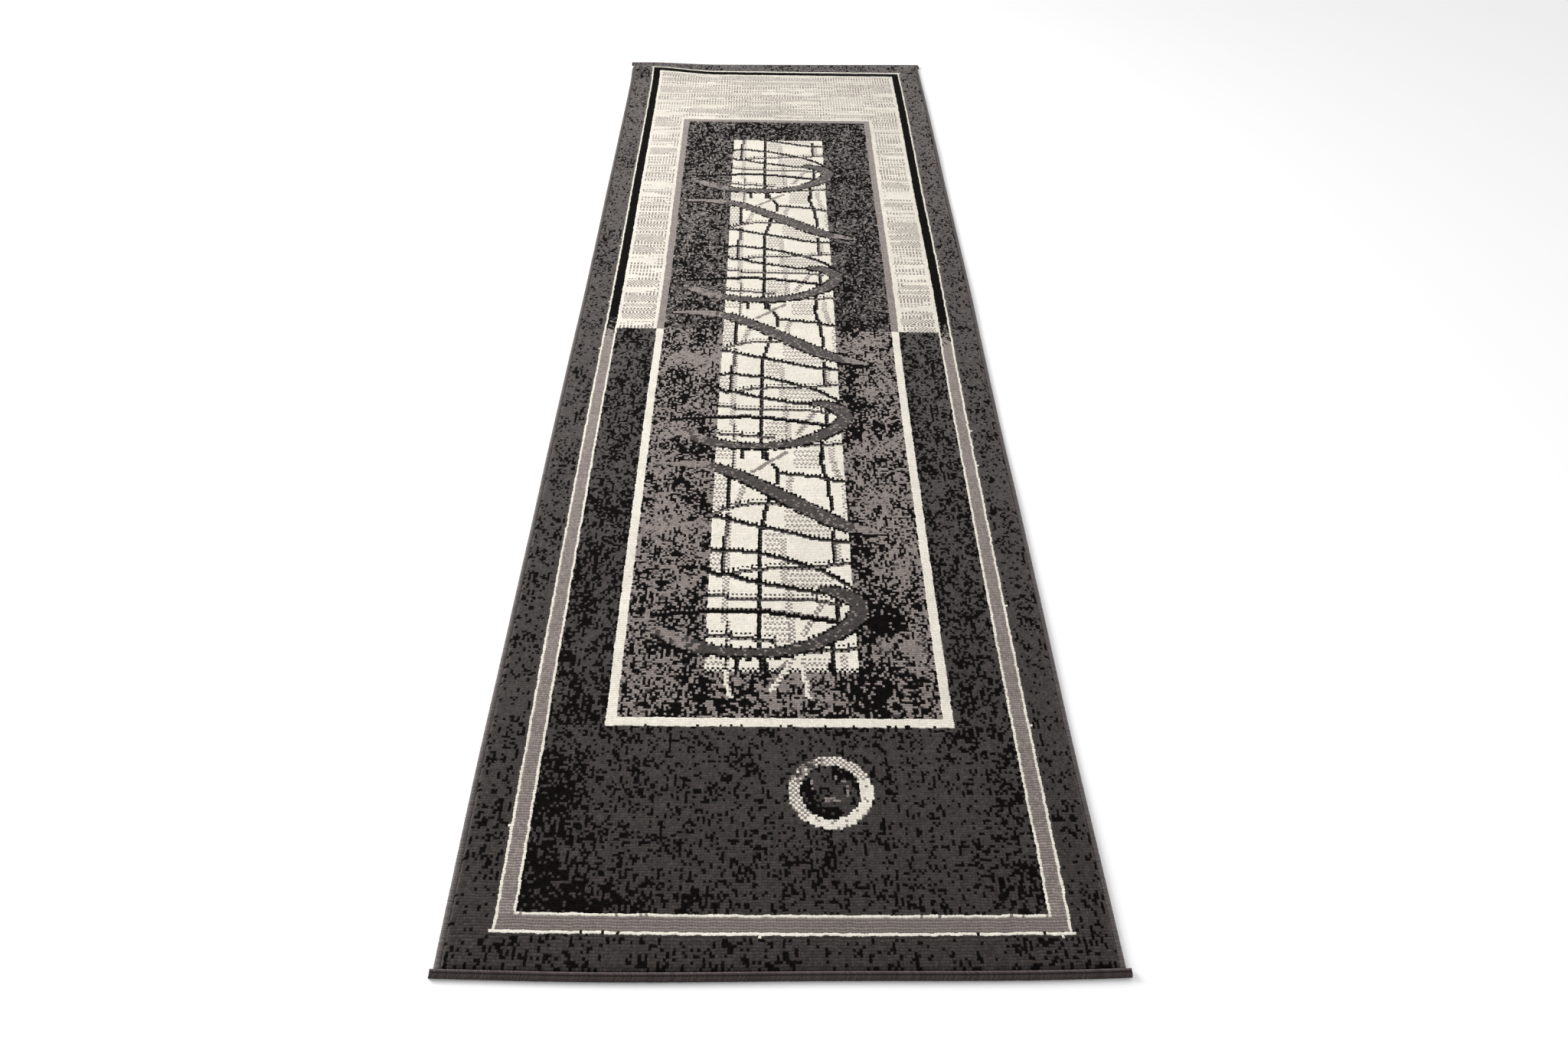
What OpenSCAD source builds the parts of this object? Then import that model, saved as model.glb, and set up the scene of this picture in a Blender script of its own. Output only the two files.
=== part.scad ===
// Machine-woven runner rug, lying flat with its front end towards -Y.
// X runs across the rug, Y along it and Z up. The origin is under the middle of the rug, on the floor.
// The pile is drawn as one solid for each area of one yarn colour. All areas stand on one ground weave
// and meet side by side, and the cut edges of the weave are held by overlocked yarn.

/* [Overall size] */
// Width over the side serging
rug_w = 700; // [580:10:1000]
// Length over the two end hems
rug_l = 2500; // [1500:10:4000]

/* [Ground] */
// Thickness of the dried coat on the back
coat_t = 0.4; // [0.2:0.1:1]
// Thickness of the ground weave without its pile
weave_t = 2.2; // [1.5:0.1:3.5]
// Height of the pile above the ground weave
pile_h = 6.8; // [4:0.1:14]

/* [Edge bindings] */
// Width of the side serging, seen from above
serge_w = 7; // [5:0.1:12]
// Height of the side serging
serge_h = 6.2; // [5:0.1:8]
// Least thickness of serging yarn outside the cut side of the weave
serge_wrap = 1; // [0.6:0.1:1.6]
// Width of an end hem, seen from above
hem_w = 9; // [6:0.1:14]
// Height of an end hem
hem_h = 8; // [6:0.1:10]
// Least thickness of hem yarn outside the cut end of the weave
hem_wrap = 1; // [0.6:0.1:2]
// Length of each hem end that stands out past the serging
hem_tail = 4; // [1:0.5:8]

/* [Border] */
// Width of the outer border along the sides, from the rug's edge to the pinstripe
border_w = 48; // [30:0.5:70]
// Width of the outer border across the front end
border_front_w = 45.5; // [30:0.5:75]
// Width of the outer border across the back end
border_back_w = 51.5; // [30:0.5:75]
// Width of the outer pinstripe
pin_w = 5.5; // [3:0.5:8]
// Width of the band inside the outer pinstripe, along the sides
band_w = 14.5; // [10:0.5:20]
// Width of the band across the ends
band_end_w = 17; // [10:0.5:22]
// Width of the inner pinstripe, on the front half only
inner_pin_w = 5; // [3:0.5:8]

/* [Wide frame and inner line] */
// Distance from a side edge to the inner line
side_zone = 142.5; // [110:0.5:180]
// Distance from the rug's middle forward to where the light half changes to the dark half
split_shift = 11; // [0:1:60]
// Distance from the front end to the inner line
front_zone = 329; // [270:1:420]
// Distance from the back end to the inner line
back_zone = 350; // [120:1:420]
// Width of the inner line along the sides
line_w = 11.5; // [6:0.5:16]
// Width of the inner line across the ends
line_end_w = 14; // [6:0.5:18]

/* [Centre panel] */
// Width of the centre panel
panel_w = 193; // [120:1:240]
// Sideways shift of the panel from the rug's middle
panel_shift = 3; // [-10:0.5:10]
// Field between the front inner line and the panel
panel_gap_front = 79; // [40:1:110]
// Field between the back inner line and the panel
panel_gap_back = 98; // [40:1:130]

/* [Sweeps] */
// Distance between one open oval and the next
sweep_pitch = 444; // [370:1:560]
// Distance from a diagonal stroke's left tip up to the next oval's lowest point
diagonal_gap = 42; // [30:1:60]
// Height of the lowest oval above the panel's front edge
sweep_start = 31.5; // [15:1:60]
// Clear field between a sweep's left tip and the inner line
sweep_gap = 16; // [8:1:40]
// Thickness of every sweep as a multiple of the drawn stroke
sweep_weight = 1; // [0.7:0.05:1.2]

/* [Ring] */
// Outer width of the ring
ring_w = 97; // [60:1:130]
// Outer length of the ring
ring_l = 105; // [60:1:130]
// Width of the ring's own stroke
ring_band = 14; // [8:0.5:20]
// Sideways shift of the ring from the rug's middle
ring_shift = 57; // [-100:1:100]
// Clear frame between the ring and the inner line
ring_gap = 43.5; // [25:0.5:60]

/* [Hidden] */

half_w = rug_w / 2;
half_l = rug_l / 2;
weave_z = coat_t;
pile_z = coat_t + weave_t;
// Distance from the rug's edge to the cut edge of the weave: the round nose is narrowest where it
// passes under the weave, and the least yarn thickness counts from there
function nose_inset(height) = height / 2 - sqrt(pow(height / 2, 2) - pow(height / 2 - weave_z, 2));
weave_side = nose_inset(serge_h) + serge_wrap;
weave_end = nose_inset(hem_h) + hem_wrap;
// Distances from the rug's edge to the inner side of each surround, going inwards
pin_in = border_w + pin_w;
band_in = pin_in + band_w;
inner_pin_in = band_in + inner_pin_w;
pin_front_in = border_front_w + pin_w;
band_front_in = pin_front_in + band_end_w;
inner_pin_front_in = band_front_in + inner_pin_w;
pin_back_in = border_back_w + pin_w;
band_back_in = pin_back_in + band_end_w;
line_in = side_zone + line_w;
front_line_in = front_zone + line_end_w;
back_line_in = back_zone + line_end_w;
// Where the light half changes to the dark half
split_y = -split_shift;
// The panel's edges
panel_x0 = panel_shift - panel_w / 2;
panel_x1 = panel_shift + panel_w / 2;
panel_y0 = -half_l + front_line_in + panel_gap_front;
panel_y1 = half_l - back_line_in - panel_gap_back;
// How far each drawn stroke reaches from the rug's middle, and how tall an oval is
stroke_reach = 180;
oval_height = 132;
stroke_steps = 4;
sweep_scale = (half_w - line_in - sweep_gap) / stroke_reach;
oval_y = panel_y0 + sweep_start;
ovals = max(1, floor((panel_y1 - oval_y - oval_height) / sweep_pitch) + 1);
// The ring's middle
ring_y = -half_l + front_zone - ring_gap - ring_l / 2;
// Overlap of a cutting solid past the surfaces that it cuts
past = 1;

// Middle line of an open oval, from its left tip round the bottom to its hook: [x, y, width]
OVAL = [
    [-170, 45, 8], [-148, 34, 20], [-122, 19, 22], [-97, 8, 21], [-60, 1, 20], [-23, 0, 19],
    [12, 5, 20], [45, 17, 22], [70, 33, 24], [92, 52, 27], [105, 74, 28], [106, 92, 28],
    [95, 106, 27], [78, 116, 22], [62, 119, 18]
];
// Middle line of a diagonal stroke, from its left tip down to its right tip: [x, y, width]
DIAGONAL = [
    [-180, -5, 8], [-140, -6, 13], [-115, -9, 19], [-95, -14, 22], [-70, -25, 24], [-35, -48, 25],
    [0, -76, 28], [35, -104, 30], [70, -131, 29], [100, -149, 26], [127, -158, 21], [150, -165, 12]
];

// Smooth curve through a list of points, evenly sampled between each pair
function held(list, i) = list[max(0, min(len(list) - 1, i))];
function between(a, b, c, d, t) =
    0.5 * (2 * b + (c - a) * t + (2 * a - 5 * b + 4 * c - d) * t * t + (3 * b - a - 3 * c + d) * t * t * t);
function smooth(list) = [
    for (i = [0 : len(list) - 2], s = [0 : stroke_steps - 1])
        between(held(list, i - 1), list[i], list[i + 1], held(list, i + 2), s / stroke_steps),
    list[len(list) - 1]
];
// One side of a stroke: side is 1 for its left edge and -1 for its right edge
function edge_point(line, i, side) =
    let (
        ahead = held(line, i + 1), behind = held(line, i - 1),
        run = [ahead[0] - behind[0], ahead[1] - behind[1]],
        out = [-run[1], run[0]] / norm(run) * side * line[i][2] / 2 * sweep_weight
    ) [(line[i][0] + out[0]) * sweep_scale, line[i][1] + out[1]];
function stroke(list) =
    let (line = smooth(list), last = len(line) - 1) concat(
        [for (i = [0 : last]) edge_point(line, i, 1)],
        [for (i = [last : -1 : 0]) edge_point(line, i, -1)]
    );
function oval_outline(w, l) = [for (a = [0 : 7.5 : 352.5]) [w / 2 * cos(a), l / 2 * sin(a)]];

// A block of pile between two corners given in the rug's own plane
module pile_block(x0, y0, x1, y1) {
    translate([x0, y0, pile_z]) cube([x1 - x0, y1 - y0, pile_h]);
}

// The same block cut through, for taking one area of pile out of another
module pile_cut(x0, y0, x1, y1) {
    translate([x0, y0, pile_z - past]) cube([x1 - x0, y1 - y0, pile_h + 2 * past]);
}

// Half of a surround, given by its outer and inner distance from the rug's sides and from its ends.
// It is cut at the split: end is 1 for the back half and -1 for the front half.
module half_surround(end, side_out, side_in, end_out, end_in) {
    y0 = end > 0 ? split_y : end_out - half_l;
    y1 = end > 0 ? half_l - end_out : split_y;
    cut_y0 = end > 0 ? split_y - past : end_in - half_l;
    cut_y1 = end > 0 ? half_l - end_in : split_y + past;
    difference() {
        pile_block(side_out - half_w, y0, half_w - side_out, y1);
        pile_cut(side_in - half_w, cut_y0, half_w - side_in, cut_y1);
    }
}

module oval_strokes(low, height) {
    for (i = [0 : ovals - 1])
        translate([0, oval_y + i * sweep_pitch, low]) linear_extrude(height = height) polygon(stroke(OVAL));
}

module diagonal_strokes(low, height) {
    for (i = [0 : 1 : ovals - 2])
        translate([0, oval_y + (i + 1) * sweep_pitch - diagonal_gap, low])
            linear_extrude(height = height) polygon(stroke(DIAGONAL));
}

// An area of pile with every sweep that crosses it taken out
module without_sweeps() {
    difference() {
        children();
        oval_strokes(pile_z - past, pile_h + 2 * past);
        diagonal_strokes(pile_z - past, pile_h + 2 * past);
    }
}

// The woven ground reaches into both serged sides and both hems
module weave_block() {
    translate([weave_side - half_w, weave_end - half_l, weave_z])
        cube([rug_w - 2 * weave_side, rug_l - 2 * weave_end, weave_t]);
}

// Overlocked yarn round a cut edge: flat below, with a round nose. It runs along X from 0 to length,
// its nose points to -Y, and the edge of the weave is left out of it afterwards.
module overlock(length, width, height) {
    nose = height / 2;
    intersection() {
        translate([0, nose, nose]) rotate([0, 90, 0]) cylinder(r = nose, h = length, $fn = 48);
        cube([length, nose, height]);
    }
    translate([0, nose, 0]) cube([length, width - nose, height]);
}

module back_coating() {
    color("#b9a98c")
        translate([serge_w - half_w, hem_w - half_l, 0])
            cube([rug_w - 2 * serge_w, rug_l - 2 * hem_w, coat_t]);
}

module ground_weave() {
    color("#a89877") weave_block();
}

// side is -1 for the left edge and 1 for the right edge
module serging(side) {
    run = rug_l - 2 * hem_w;
    color("#6f6866") difference() {
        translate([side * half_w, -side * run / 2, 0]) rotate([0, 0, side * 90])
            overlock(run, serge_w, serge_h);
        weave_block();
    }
}

module serging_left() { serging(-1); }
module serging_right() { serging(1); }

// end is -1 for the front and 1 for the back
module hem(end) {
    run = rug_w + 2 * hem_tail;
    color("#6b6462") difference() {
        translate([end * run / 2, end * half_l, 0]) rotate([0, 0, end > 0 ? 180 : 0])
            overlock(run, hem_w, hem_h);
        weave_block();
    }
}

module hem_front() { hem(-1); }
module hem_back() { hem(1); }

// The outer border: two long strips between the end strips
module border_pile_left() {
    color("#4a4543")
        pile_block(serge_w - half_w, border_front_w - half_l, border_w - half_w, half_l - border_back_w);
}

module border_pile_right() { mirror([1, 0, 0]) border_pile_left(); }

module border_pile_front() {
    color("#4a4543")
        pile_block(serge_w - half_w, hem_w - half_l, half_w - serge_w, border_front_w - half_l);
}

module border_pile_back() {
    color("#4a4543")
        pile_block(serge_w - half_w, half_l - border_back_w, half_w - serge_w, half_l - hem_w);
}

// The outer pinstripe: two long lines between the end lines
module outer_pinstripe_left() {
    color("#dcd6c9")
        pile_block(border_w - half_w, pin_front_in - half_l, pin_in - half_w, half_l - pin_back_in);
}

module outer_pinstripe_right() { mirror([1, 0, 0]) outer_pinstripe_left(); }

module outer_pinstripe_front() {
    color("#dcd6c9")
        pile_block(border_w - half_w, border_front_w - half_l, half_w - border_w, pin_front_in - half_l);
}

module outer_pinstripe_back() {
    color("#dcd6c9")
        pile_block(border_w - half_w, half_l - pin_back_in, half_w - border_w, half_l - border_back_w);
}

module black_band() {
    color("#211d1b") half_surround(1, pin_in, band_in, pin_back_in, band_back_in);
}

module taupe_band() {
    color("#8e8580") half_surround(-1, pin_in, band_in, pin_front_in, band_front_in);
}

module inner_pinstripe() {
    color("#dcd6c9") half_surround(-1, band_in, inner_pin_in, band_front_in, inner_pin_front_in);
}

// The wide frame: light on the back half, dark on the front half
module light_frame_left() {
    color("#d6cfc5") pile_block(band_in - half_w, split_y, side_zone - half_w, half_l - back_zone);
}

module light_frame_right() { mirror([1, 0, 0]) light_frame_left(); }

module light_frame_back() {
    color("#d6cfc5")
        pile_block(band_in - half_w, half_l - back_zone, half_w - band_in, half_l - band_back_in);
}

module dark_frame_left() {
    color("#332e2c") pile_block(inner_pin_in - half_w, front_zone - half_l, side_zone - half_w, split_y);
}

module dark_frame_right() { mirror([1, 0, 0]) dark_frame_left(); }

module dark_frame_front() {
    color("#332e2c") difference() {
        pile_block(
            inner_pin_in - half_w, inner_pin_front_in - half_l, half_w - inner_pin_in, front_zone - half_l);
        ring_solid(ring_w, ring_l, pile_z - past, pile_h + 2 * past);
    }
}

module taupe_line() {
    color("#a39a95") half_surround(1, side_zone, line_in, back_zone, back_line_in);
}

module cream_line() {
    color("#e4ddcf") half_surround(-1, side_zone, line_in, front_zone, front_line_in);
}

// The field round the centre panel
module upper_field_left() {
    color("#55504d") without_sweeps() pile_block(line_in - half_w, split_y, panel_x0, panel_y1);
}

module upper_field_right() {
    color("#55504d") without_sweeps() pile_block(panel_x1, split_y, half_w - line_in, panel_y1);
}

module upper_field_back() {
    color("#55504d") pile_block(line_in - half_w, panel_y1, half_w - line_in, half_l - back_line_in);
}

module lower_field_left() {
    color("#605a57") without_sweeps() pile_block(line_in - half_w, panel_y0, panel_x0, split_y);
}

module lower_field_right() {
    color("#605a57") without_sweeps() pile_block(panel_x1, panel_y0, half_w - line_in, split_y);
}

module lower_field_front() {
    color("#605a57") pile_block(line_in - half_w, front_line_in - half_l, half_w - line_in, panel_y0);
}

module centre_panel() {
    color("#ece6d8") without_sweeps() pile_block(panel_x0, panel_y0, panel_x1, panel_y1);
}

module oval_sweeps() {
    color("#524c4a") oval_strokes(pile_z, pile_h);
}

module diagonal_sweeps() {
    color("#5a5351") diagonal_strokes(pile_z, pile_h);
}

module ring_solid(w, l, low, height) {
    translate([ring_shift, ring_y, low]) linear_extrude(height = height) polygon(oval_outline(w, l));
}

module ring() {
    color("#cfc8ba") difference() {
        ring_solid(ring_w, ring_l, pile_z, pile_h);
        ring_solid(ring_w - 2 * ring_band, ring_l - 2 * ring_band, pile_z - past, pile_h + 2 * past);
    }
}

module ring_centre() {
    color("#262220") ring_solid(ring_w - 2 * ring_band, ring_l - 2 * ring_band, pile_z, pile_h);
}

back_coating();
ground_weave();
serging_left();
serging_right();
hem_front();
hem_back();
border_pile_left();
border_pile_right();
border_pile_front();
border_pile_back();
outer_pinstripe_left();
outer_pinstripe_right();
outer_pinstripe_front();
outer_pinstripe_back();
black_band();
taupe_band();
inner_pinstripe();
light_frame_left();
light_frame_right();
light_frame_back();
dark_frame_left();
dark_frame_right();
dark_frame_front();
taupe_line();
cream_line();
upper_field_left();
upper_field_right();
upper_field_back();
lower_field_left();
lower_field_right();
lower_field_front();
centre_panel();
oval_sweeps();
diagonal_sweeps();
ring();
ring_centre();
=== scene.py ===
"""A machine-woven runner rug, made tuft by tuft round its CAD model.

Metres, in the CAD model's frame: X across the rug, Y along it from the front end, Z up.
The pile is a chart of tufts, one yarn each, as a loom reads it. Every area of pile is one connected
surface with a rounded crown for each tuft, and the bindings are overlocked stitch by stitch.
"""
import math

import bpy
import numpy as np
from mathutils import Matrix, Vector


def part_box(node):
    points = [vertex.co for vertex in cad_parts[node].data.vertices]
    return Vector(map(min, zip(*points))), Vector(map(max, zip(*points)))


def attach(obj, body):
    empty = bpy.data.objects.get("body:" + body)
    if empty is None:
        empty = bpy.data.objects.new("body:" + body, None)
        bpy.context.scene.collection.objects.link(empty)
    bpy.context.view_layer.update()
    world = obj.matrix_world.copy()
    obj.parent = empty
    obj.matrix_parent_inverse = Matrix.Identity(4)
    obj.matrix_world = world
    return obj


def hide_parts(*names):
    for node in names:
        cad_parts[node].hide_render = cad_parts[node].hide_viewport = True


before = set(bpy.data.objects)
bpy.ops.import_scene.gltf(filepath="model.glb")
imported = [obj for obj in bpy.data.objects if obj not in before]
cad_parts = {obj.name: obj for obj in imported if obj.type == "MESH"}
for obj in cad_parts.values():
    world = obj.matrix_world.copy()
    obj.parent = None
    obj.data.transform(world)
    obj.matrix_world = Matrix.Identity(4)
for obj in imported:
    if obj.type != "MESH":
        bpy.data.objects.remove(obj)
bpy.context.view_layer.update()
MM = 0.001
rng = np.random.default_rng(70250)

# ---------------------------------------------------------------- sizes

# The pile field lies between the inner edges of the serging and of the hems
FIELD_X0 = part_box("serging_left")[1].x
FIELD_X1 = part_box("serging_right")[0].x
FIELD_Y0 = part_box("hem_front")[1].y
FIELD_Y1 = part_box("hem_back")[0].y
RUG_HALF_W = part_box("serging_right")[1].x
RUG_HALF_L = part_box("hem_back")[1].y
PILE_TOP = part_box("centre_panel")[1].z
SPLIT_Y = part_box("black_band")[0].y

# Whole tufts across and rows of them along, at close to the loom's pitch each way
REED_PITCH = 3.12 * MM
ROW_PITCH = 3.49 * MM
COLS = round((FIELD_X1 - FIELD_X0) / REED_PITCH)
ROWS = round((FIELD_Y1 - FIELD_Y0) / ROW_PITCH)
TUFT_X = (FIELD_X1 - FIELD_X0) / COLS
TUFT_Y = (FIELD_Y1 - FIELD_Y0) / ROWS

TIP_DROP = 0.3 * MM         # mean height of the tips below the full pile height
COLUMN_VALLEY = 0.30 * MM   # depth between two tufts of one row
ROW_VALLEY = 1.05 * MM      # depth between two rows
CORNER_VALLEY = 1.30 * MM
TIP_JITTER = 0.35 * MM
VALLEY_JITTER = 0.62 * MM
HEIGHT_JITTER = 0.28 * MM
LEAN_X = 0.9 * MM           # how far whole clumps of pile lean sideways
LEAN_Y = 0.7 * MM

# The sweeps, as drawn in the CAD model, in millimetres: [x, y, width]
OVAL = [
    [-170, 45, 8], [-148, 34, 20], [-122, 19, 22], [-97, 8, 21], [-60, 1, 20], [-23, 0, 19],
    [12, 5, 20], [45, 17, 22], [70, 33, 24], [92, 52, 27], [105, 74, 28], [106, 92, 28],
    [95, 106, 27], [78, 116, 22], [62, 119, 18],
]
DIAGONAL = [
    [-180, -5, 8], [-140, -6, 13], [-115, -9, 19], [-95, -14, 22], [-70, -25, 24], [-35, -48, 25],
    [0, -76, 28], [35, -104, 30], [70, -131, 29], [100, -149, 26], [127, -158, 21], [150, -165, 12],
]
SWEEP_PITCH = 444 * MM
DIAGONAL_GAP = 42 * MM
OVAL_START = 31.5 * MM
OVALS = 4
RING_BAND = 14 * MM

# ---------------------------------------------------------------- the lie of the rug


def smoothstep(low, high, value):
    t = np.clip((value - low) / (high - low), 0, 1)
    return t * t * (3 - 2 * t)


RUCK_HEIGHT = 8.8 * MM
RUCK_FROM_BACK = 0.066
RUCK_SPREAD = 0.036
CURL_HEIGHT = 5.0 * MM


def to_left(x):
    """0 over most of the rug, rising to 1 by its left side."""
    return smoothstep(-0.14, -0.31, x)


def lie(x, y):
    """Height of the rug's underside above the floor: a low ruck by the back-left corner and faint waves."""
    from_back = RUG_HALF_L - y
    ruck = RUCK_HEIGHT * np.exp(-((from_back - RUCK_FROM_BACK) / RUCK_SPREAD) ** 2) * to_left(x)
    curl = CURL_HEIGHT * smoothstep(0.045, 0, from_back) * to_left(x)
    wave = 0.5 * MM * (1 + np.sin(y * 9.0 + 2.2 * x)) * smoothstep(0.0, 0.2, from_back)
    wave = wave + 0.35 * MM * (1 + np.sin(y * 21.0 - 6.0 * x + 1.0)) * smoothstep(0.12, 0.35, np.abs(x))
    return ruck + curl + wave * smoothstep(0, 0.15, RUG_HALF_L + y)


def skew(x, y):
    """Slip of the weave along the rug: the right side lies nearer the front,
    and the front end bows and ripples."""
    inner = smoothstep(-1.25, -1.19, y) * smoothstep(1.25, 1.19, y)
    slip = -9.5 * MM * (x / RUG_HALF_W) * (0.3 + 0.7 * smoothstep(-1.2, 0.0, y)) * inner
    bow = -4.0 * MM * (1 - (x / RUG_HALF_W) ** 2) * smoothstep(-0.85, -1.25, y)
    push = 2.0 * MM * smoothstep(-0.9, -1.15, y) + 4.0 * MM * to_left(x) * smoothstep(0.95, 1.15, y)
    ripple = 0.9 * MM * np.sin(14.0 * x + 1.0) * smoothstep(-1.20, -1.25, y)
    return slip + bow + push * inner + ripple


def sway(x, y):
    """Slow sideways wander of the long edges, and of the pattern between them near the front end."""
    drift = 3.0 * MM * smoothstep(-0.5, -1.1, y) * smoothstep(0.354, 0.30, np.abs(x))
    return 1.0 * MM * np.sin(3.1 * y + 0.6) + 0.5 * MM * np.sin(8.3 * y) + drift


def settle(points):
    """Points of the flat rug, moved to where they lie."""
    x, y, z = points[:, 0], points[:, 1], points[:, 2]
    return np.column_stack((x + sway(x, y), y + skew(x, y), z + lie(x, y)))


# ---------------------------------------------------------------- random fields over the tufts


def even(field):
    """The same field with its values spread evenly from 0 to 1."""
    order = np.empty(field.size)
    order[np.argsort(field, axis=None)] = np.arange(field.size)
    return (order / field.size).reshape(field.shape)


def cloud(wide, tall, rows=ROWS, cols=COLS):
    """A smooth random field whose blotches are about that many cells wide and tall."""
    lattice = rng.random((int(rows / tall) + 3, int(cols / wide) + 3))
    across = np.arange(cols) / wide + rng.random()
    along = np.arange(rows) / tall + rng.random()
    i, j = along.astype(int), across.astype(int)
    v, u = along - i, across - j
    v, u = (v * v * (3 - 2 * v))[:, None], (u * u * (3 - 2 * u))[None, :]
    low = lattice[np.ix_(i, j)] * (1 - u) + lattice[np.ix_(i, j + 1)] * u
    high = lattice[np.ix_(i + 1, j)] * (1 - u) + lattice[np.ix_(i + 1, j + 1)] * u
    return low * (1 - v) + high * v


def flecks():
    """Small ragged specks of one to three tufts, a little longer along the rug."""
    return even(cloud(0.9, 1.8) + 0.20 * cloud(3.0, 6.0) + 0.70 * rng.random((ROWS, COLS)))


# ---------------------------------------------------------------- the areas of the chart

PAINT_ORDER = [
    "border_pile_left", "border_pile_right", "border_pile_front", "border_pile_back",
    "outer_pinstripe_left", "outer_pinstripe_right", "outer_pinstripe_front", "outer_pinstripe_back",
    "black_band", "taupe_band", "light_frame_left", "light_frame_right", "light_frame_back",
    "inner_pinstripe", "dark_frame_front", "dark_frame_left", "dark_frame_right",
    "taupe_line", "cream_line",
    "upper_field_left", "upper_field_right", "upper_field_back",
    "lower_field_left", "lower_field_right", "lower_field_front", "centre_panel",
    "oval_sweeps", "diagonal_sweeps", "ring", "ring_centre",
]
AREA = {name: number for number, name in enumerate(PAINT_ORDER)}

tuft_x = FIELD_X0 + (np.arange(COLS) + 0.5) * TUFT_X
tuft_y = FIELD_Y0 + (np.arange(ROWS) + 0.5) * TUFT_Y
X, Y = np.meshgrid(tuft_x, tuft_y)
COL, ROW = np.meshgrid(np.arange(COLS), np.arange(ROWS))
area = np.zeros((ROWS, COLS), int)
panel_low, panel_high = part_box("centre_panel")
oval_y = panel_low.y + OVAL_START


def curve_points(points, steps=12):
    """A smooth curve through a list of [x, y, width], finely sampled."""
    p = np.array(points, float)
    p = np.vstack((p[0], p, p[-1]))
    out = []
    for a, b, c, d in zip(p[:-3], p[1:-2], p[2:-1], p[3:]):
        for t in np.arange(steps) / steps:
            out.append(0.5 * (2 * b + (c - a) * t + (2 * a - 5 * b + 4 * c - d) * t ** 2
                              + (3 * b - a - 3 * c + d) * t ** 3))
    out.append(p[-1])
    return np.array(out) * MM


def paint_stroke(points, base_y, number):
    """Gives every tuft within half the stroke's width of its middle line to one area."""
    for x, y, width in curve_points(points):
        near = (X - x) ** 2 + (Y - base_y - y) ** 2 < (width / 2) ** 2
        area[near] = number


def oval_mask(node, inset=0.0):
    low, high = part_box(node)
    mid = (low + high) / 2
    half = (high - low) / 2
    return ((X - mid.x) / (half.x - inset)) ** 2 + ((Y - mid.y) / (half.y - inset)) ** 2 < 1


def paint_areas():
    for name in PAINT_ORDER[:AREA["oval_sweeps"]]:
        low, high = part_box(name)
        inside = (X > low.x) & (X < high.x) & (Y > low.y) & (Y < high.y)
        area[inside] = AREA[name]
    for i in range(OVALS):
        paint_stroke(OVAL, oval_y + i * SWEEP_PITCH, AREA["oval_sweeps"])
    for i in range(1, OVALS):
        paint_stroke(DIAGONAL, oval_y + i * SWEEP_PITCH - DIAGONAL_GAP, AREA["diagonal_sweeps"])
    area[oval_mask("ring")] = AREA["ring"]
    area[oval_mask("ring", RING_BAND)] = AREA["ring_centre"]


def within(*names):
    return np.isin(area, [AREA[name] for name in names])


# ---------------------------------------------------------------- the yarn of each tuft

BLACK, CHARCOAL, TAUPE, CREAM = range(4)
yarn = np.full((ROWS, COLS), CHARCOAL)


def mottle(mask, black, taupe=0.0, over=CHARCOAL, grain=None):
    """Black flecks, and taupe ones, strewn over a ground of one yarn. black and taupe are shares."""
    grain = flecks() if grain is None else grain
    yarn[mask] = over
    yarn[mask & (grain < black)] = BLACK
    yarn[mask & (grain > 1 - taupe)] = TAUPE


def weave_border():
    border = within("border_pile_left", "border_pile_right", "border_pile_front", "border_pile_back")
    share = 0.21 + 0.26 * (even(cloud(12, 16) + 0.5 * cloud(5, 7)) - 0.5)
    mottle(border, np.clip(share, 0.04, 0.4))
    pins = within("outer_pinstripe_left", "outer_pinstripe_right",
                  "outer_pinstripe_front", "outer_pinstripe_back")
    yarn[pins | within("inner_pinstripe")] = CREAM
    # The outermost line of each outer stripe comes and goes in short runs, which makes the stripe wander
    along_run = even(cloud(1.0, 2.6) + 0.5 * rng.random((ROWS, COLS)))
    across_run = even(cloud(2.6, 1.0) + 0.5 * rng.random((ROWS, COLS)))
    sides = within("outer_pinstripe_left", "outer_pinstripe_right")
    outermost = np.abs(X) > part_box("outer_pinstripe_right")[1].x - TUFT_X
    yarn[sides & outermost & (along_run < 0.99)] = CHARCOAL
    front = within("outer_pinstripe_front")
    yarn[front & (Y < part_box("outer_pinstripe_front")[0].y + TUFT_Y) & (across_run < 0.99)] = CHARCOAL
    yarn[front & (rng.random((ROWS, COLS)) < 0.035)] = BLACK
    ticks = within("inner_pinstripe") & (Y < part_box("inner_pinstripe")[0].y + 2 * TUFT_Y)
    yarn[ticks & (COL % 2 == 0) & (rng.random((ROWS, COLS)) < 0.12)] = TAUPE


def weave_bands():
    """The band turns from black to taupe over a speckled stretch at the rug's middle."""
    band = within("black_band", "taupe_band")
    share = np.interp(Y - SPLIT_Y, [-60 * MM, -25 * MM, 5 * MM, 40 * MM], [0.0, 0.25, 0.75, 1.0])
    grain = even(rng.random((ROWS, COLS)) + 0.5 * cloud(1.5, 2.0))
    yarn[band] = TAUPE
    yarn[band & (grain < share)] = BLACK
    speckled = band & (np.abs(Y - SPLIT_Y - 5 * MM) < 30 * MM) & (rng.random((ROWS, COLS)) < 0.25)
    yarn[speckled] = CHARCOAL


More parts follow.
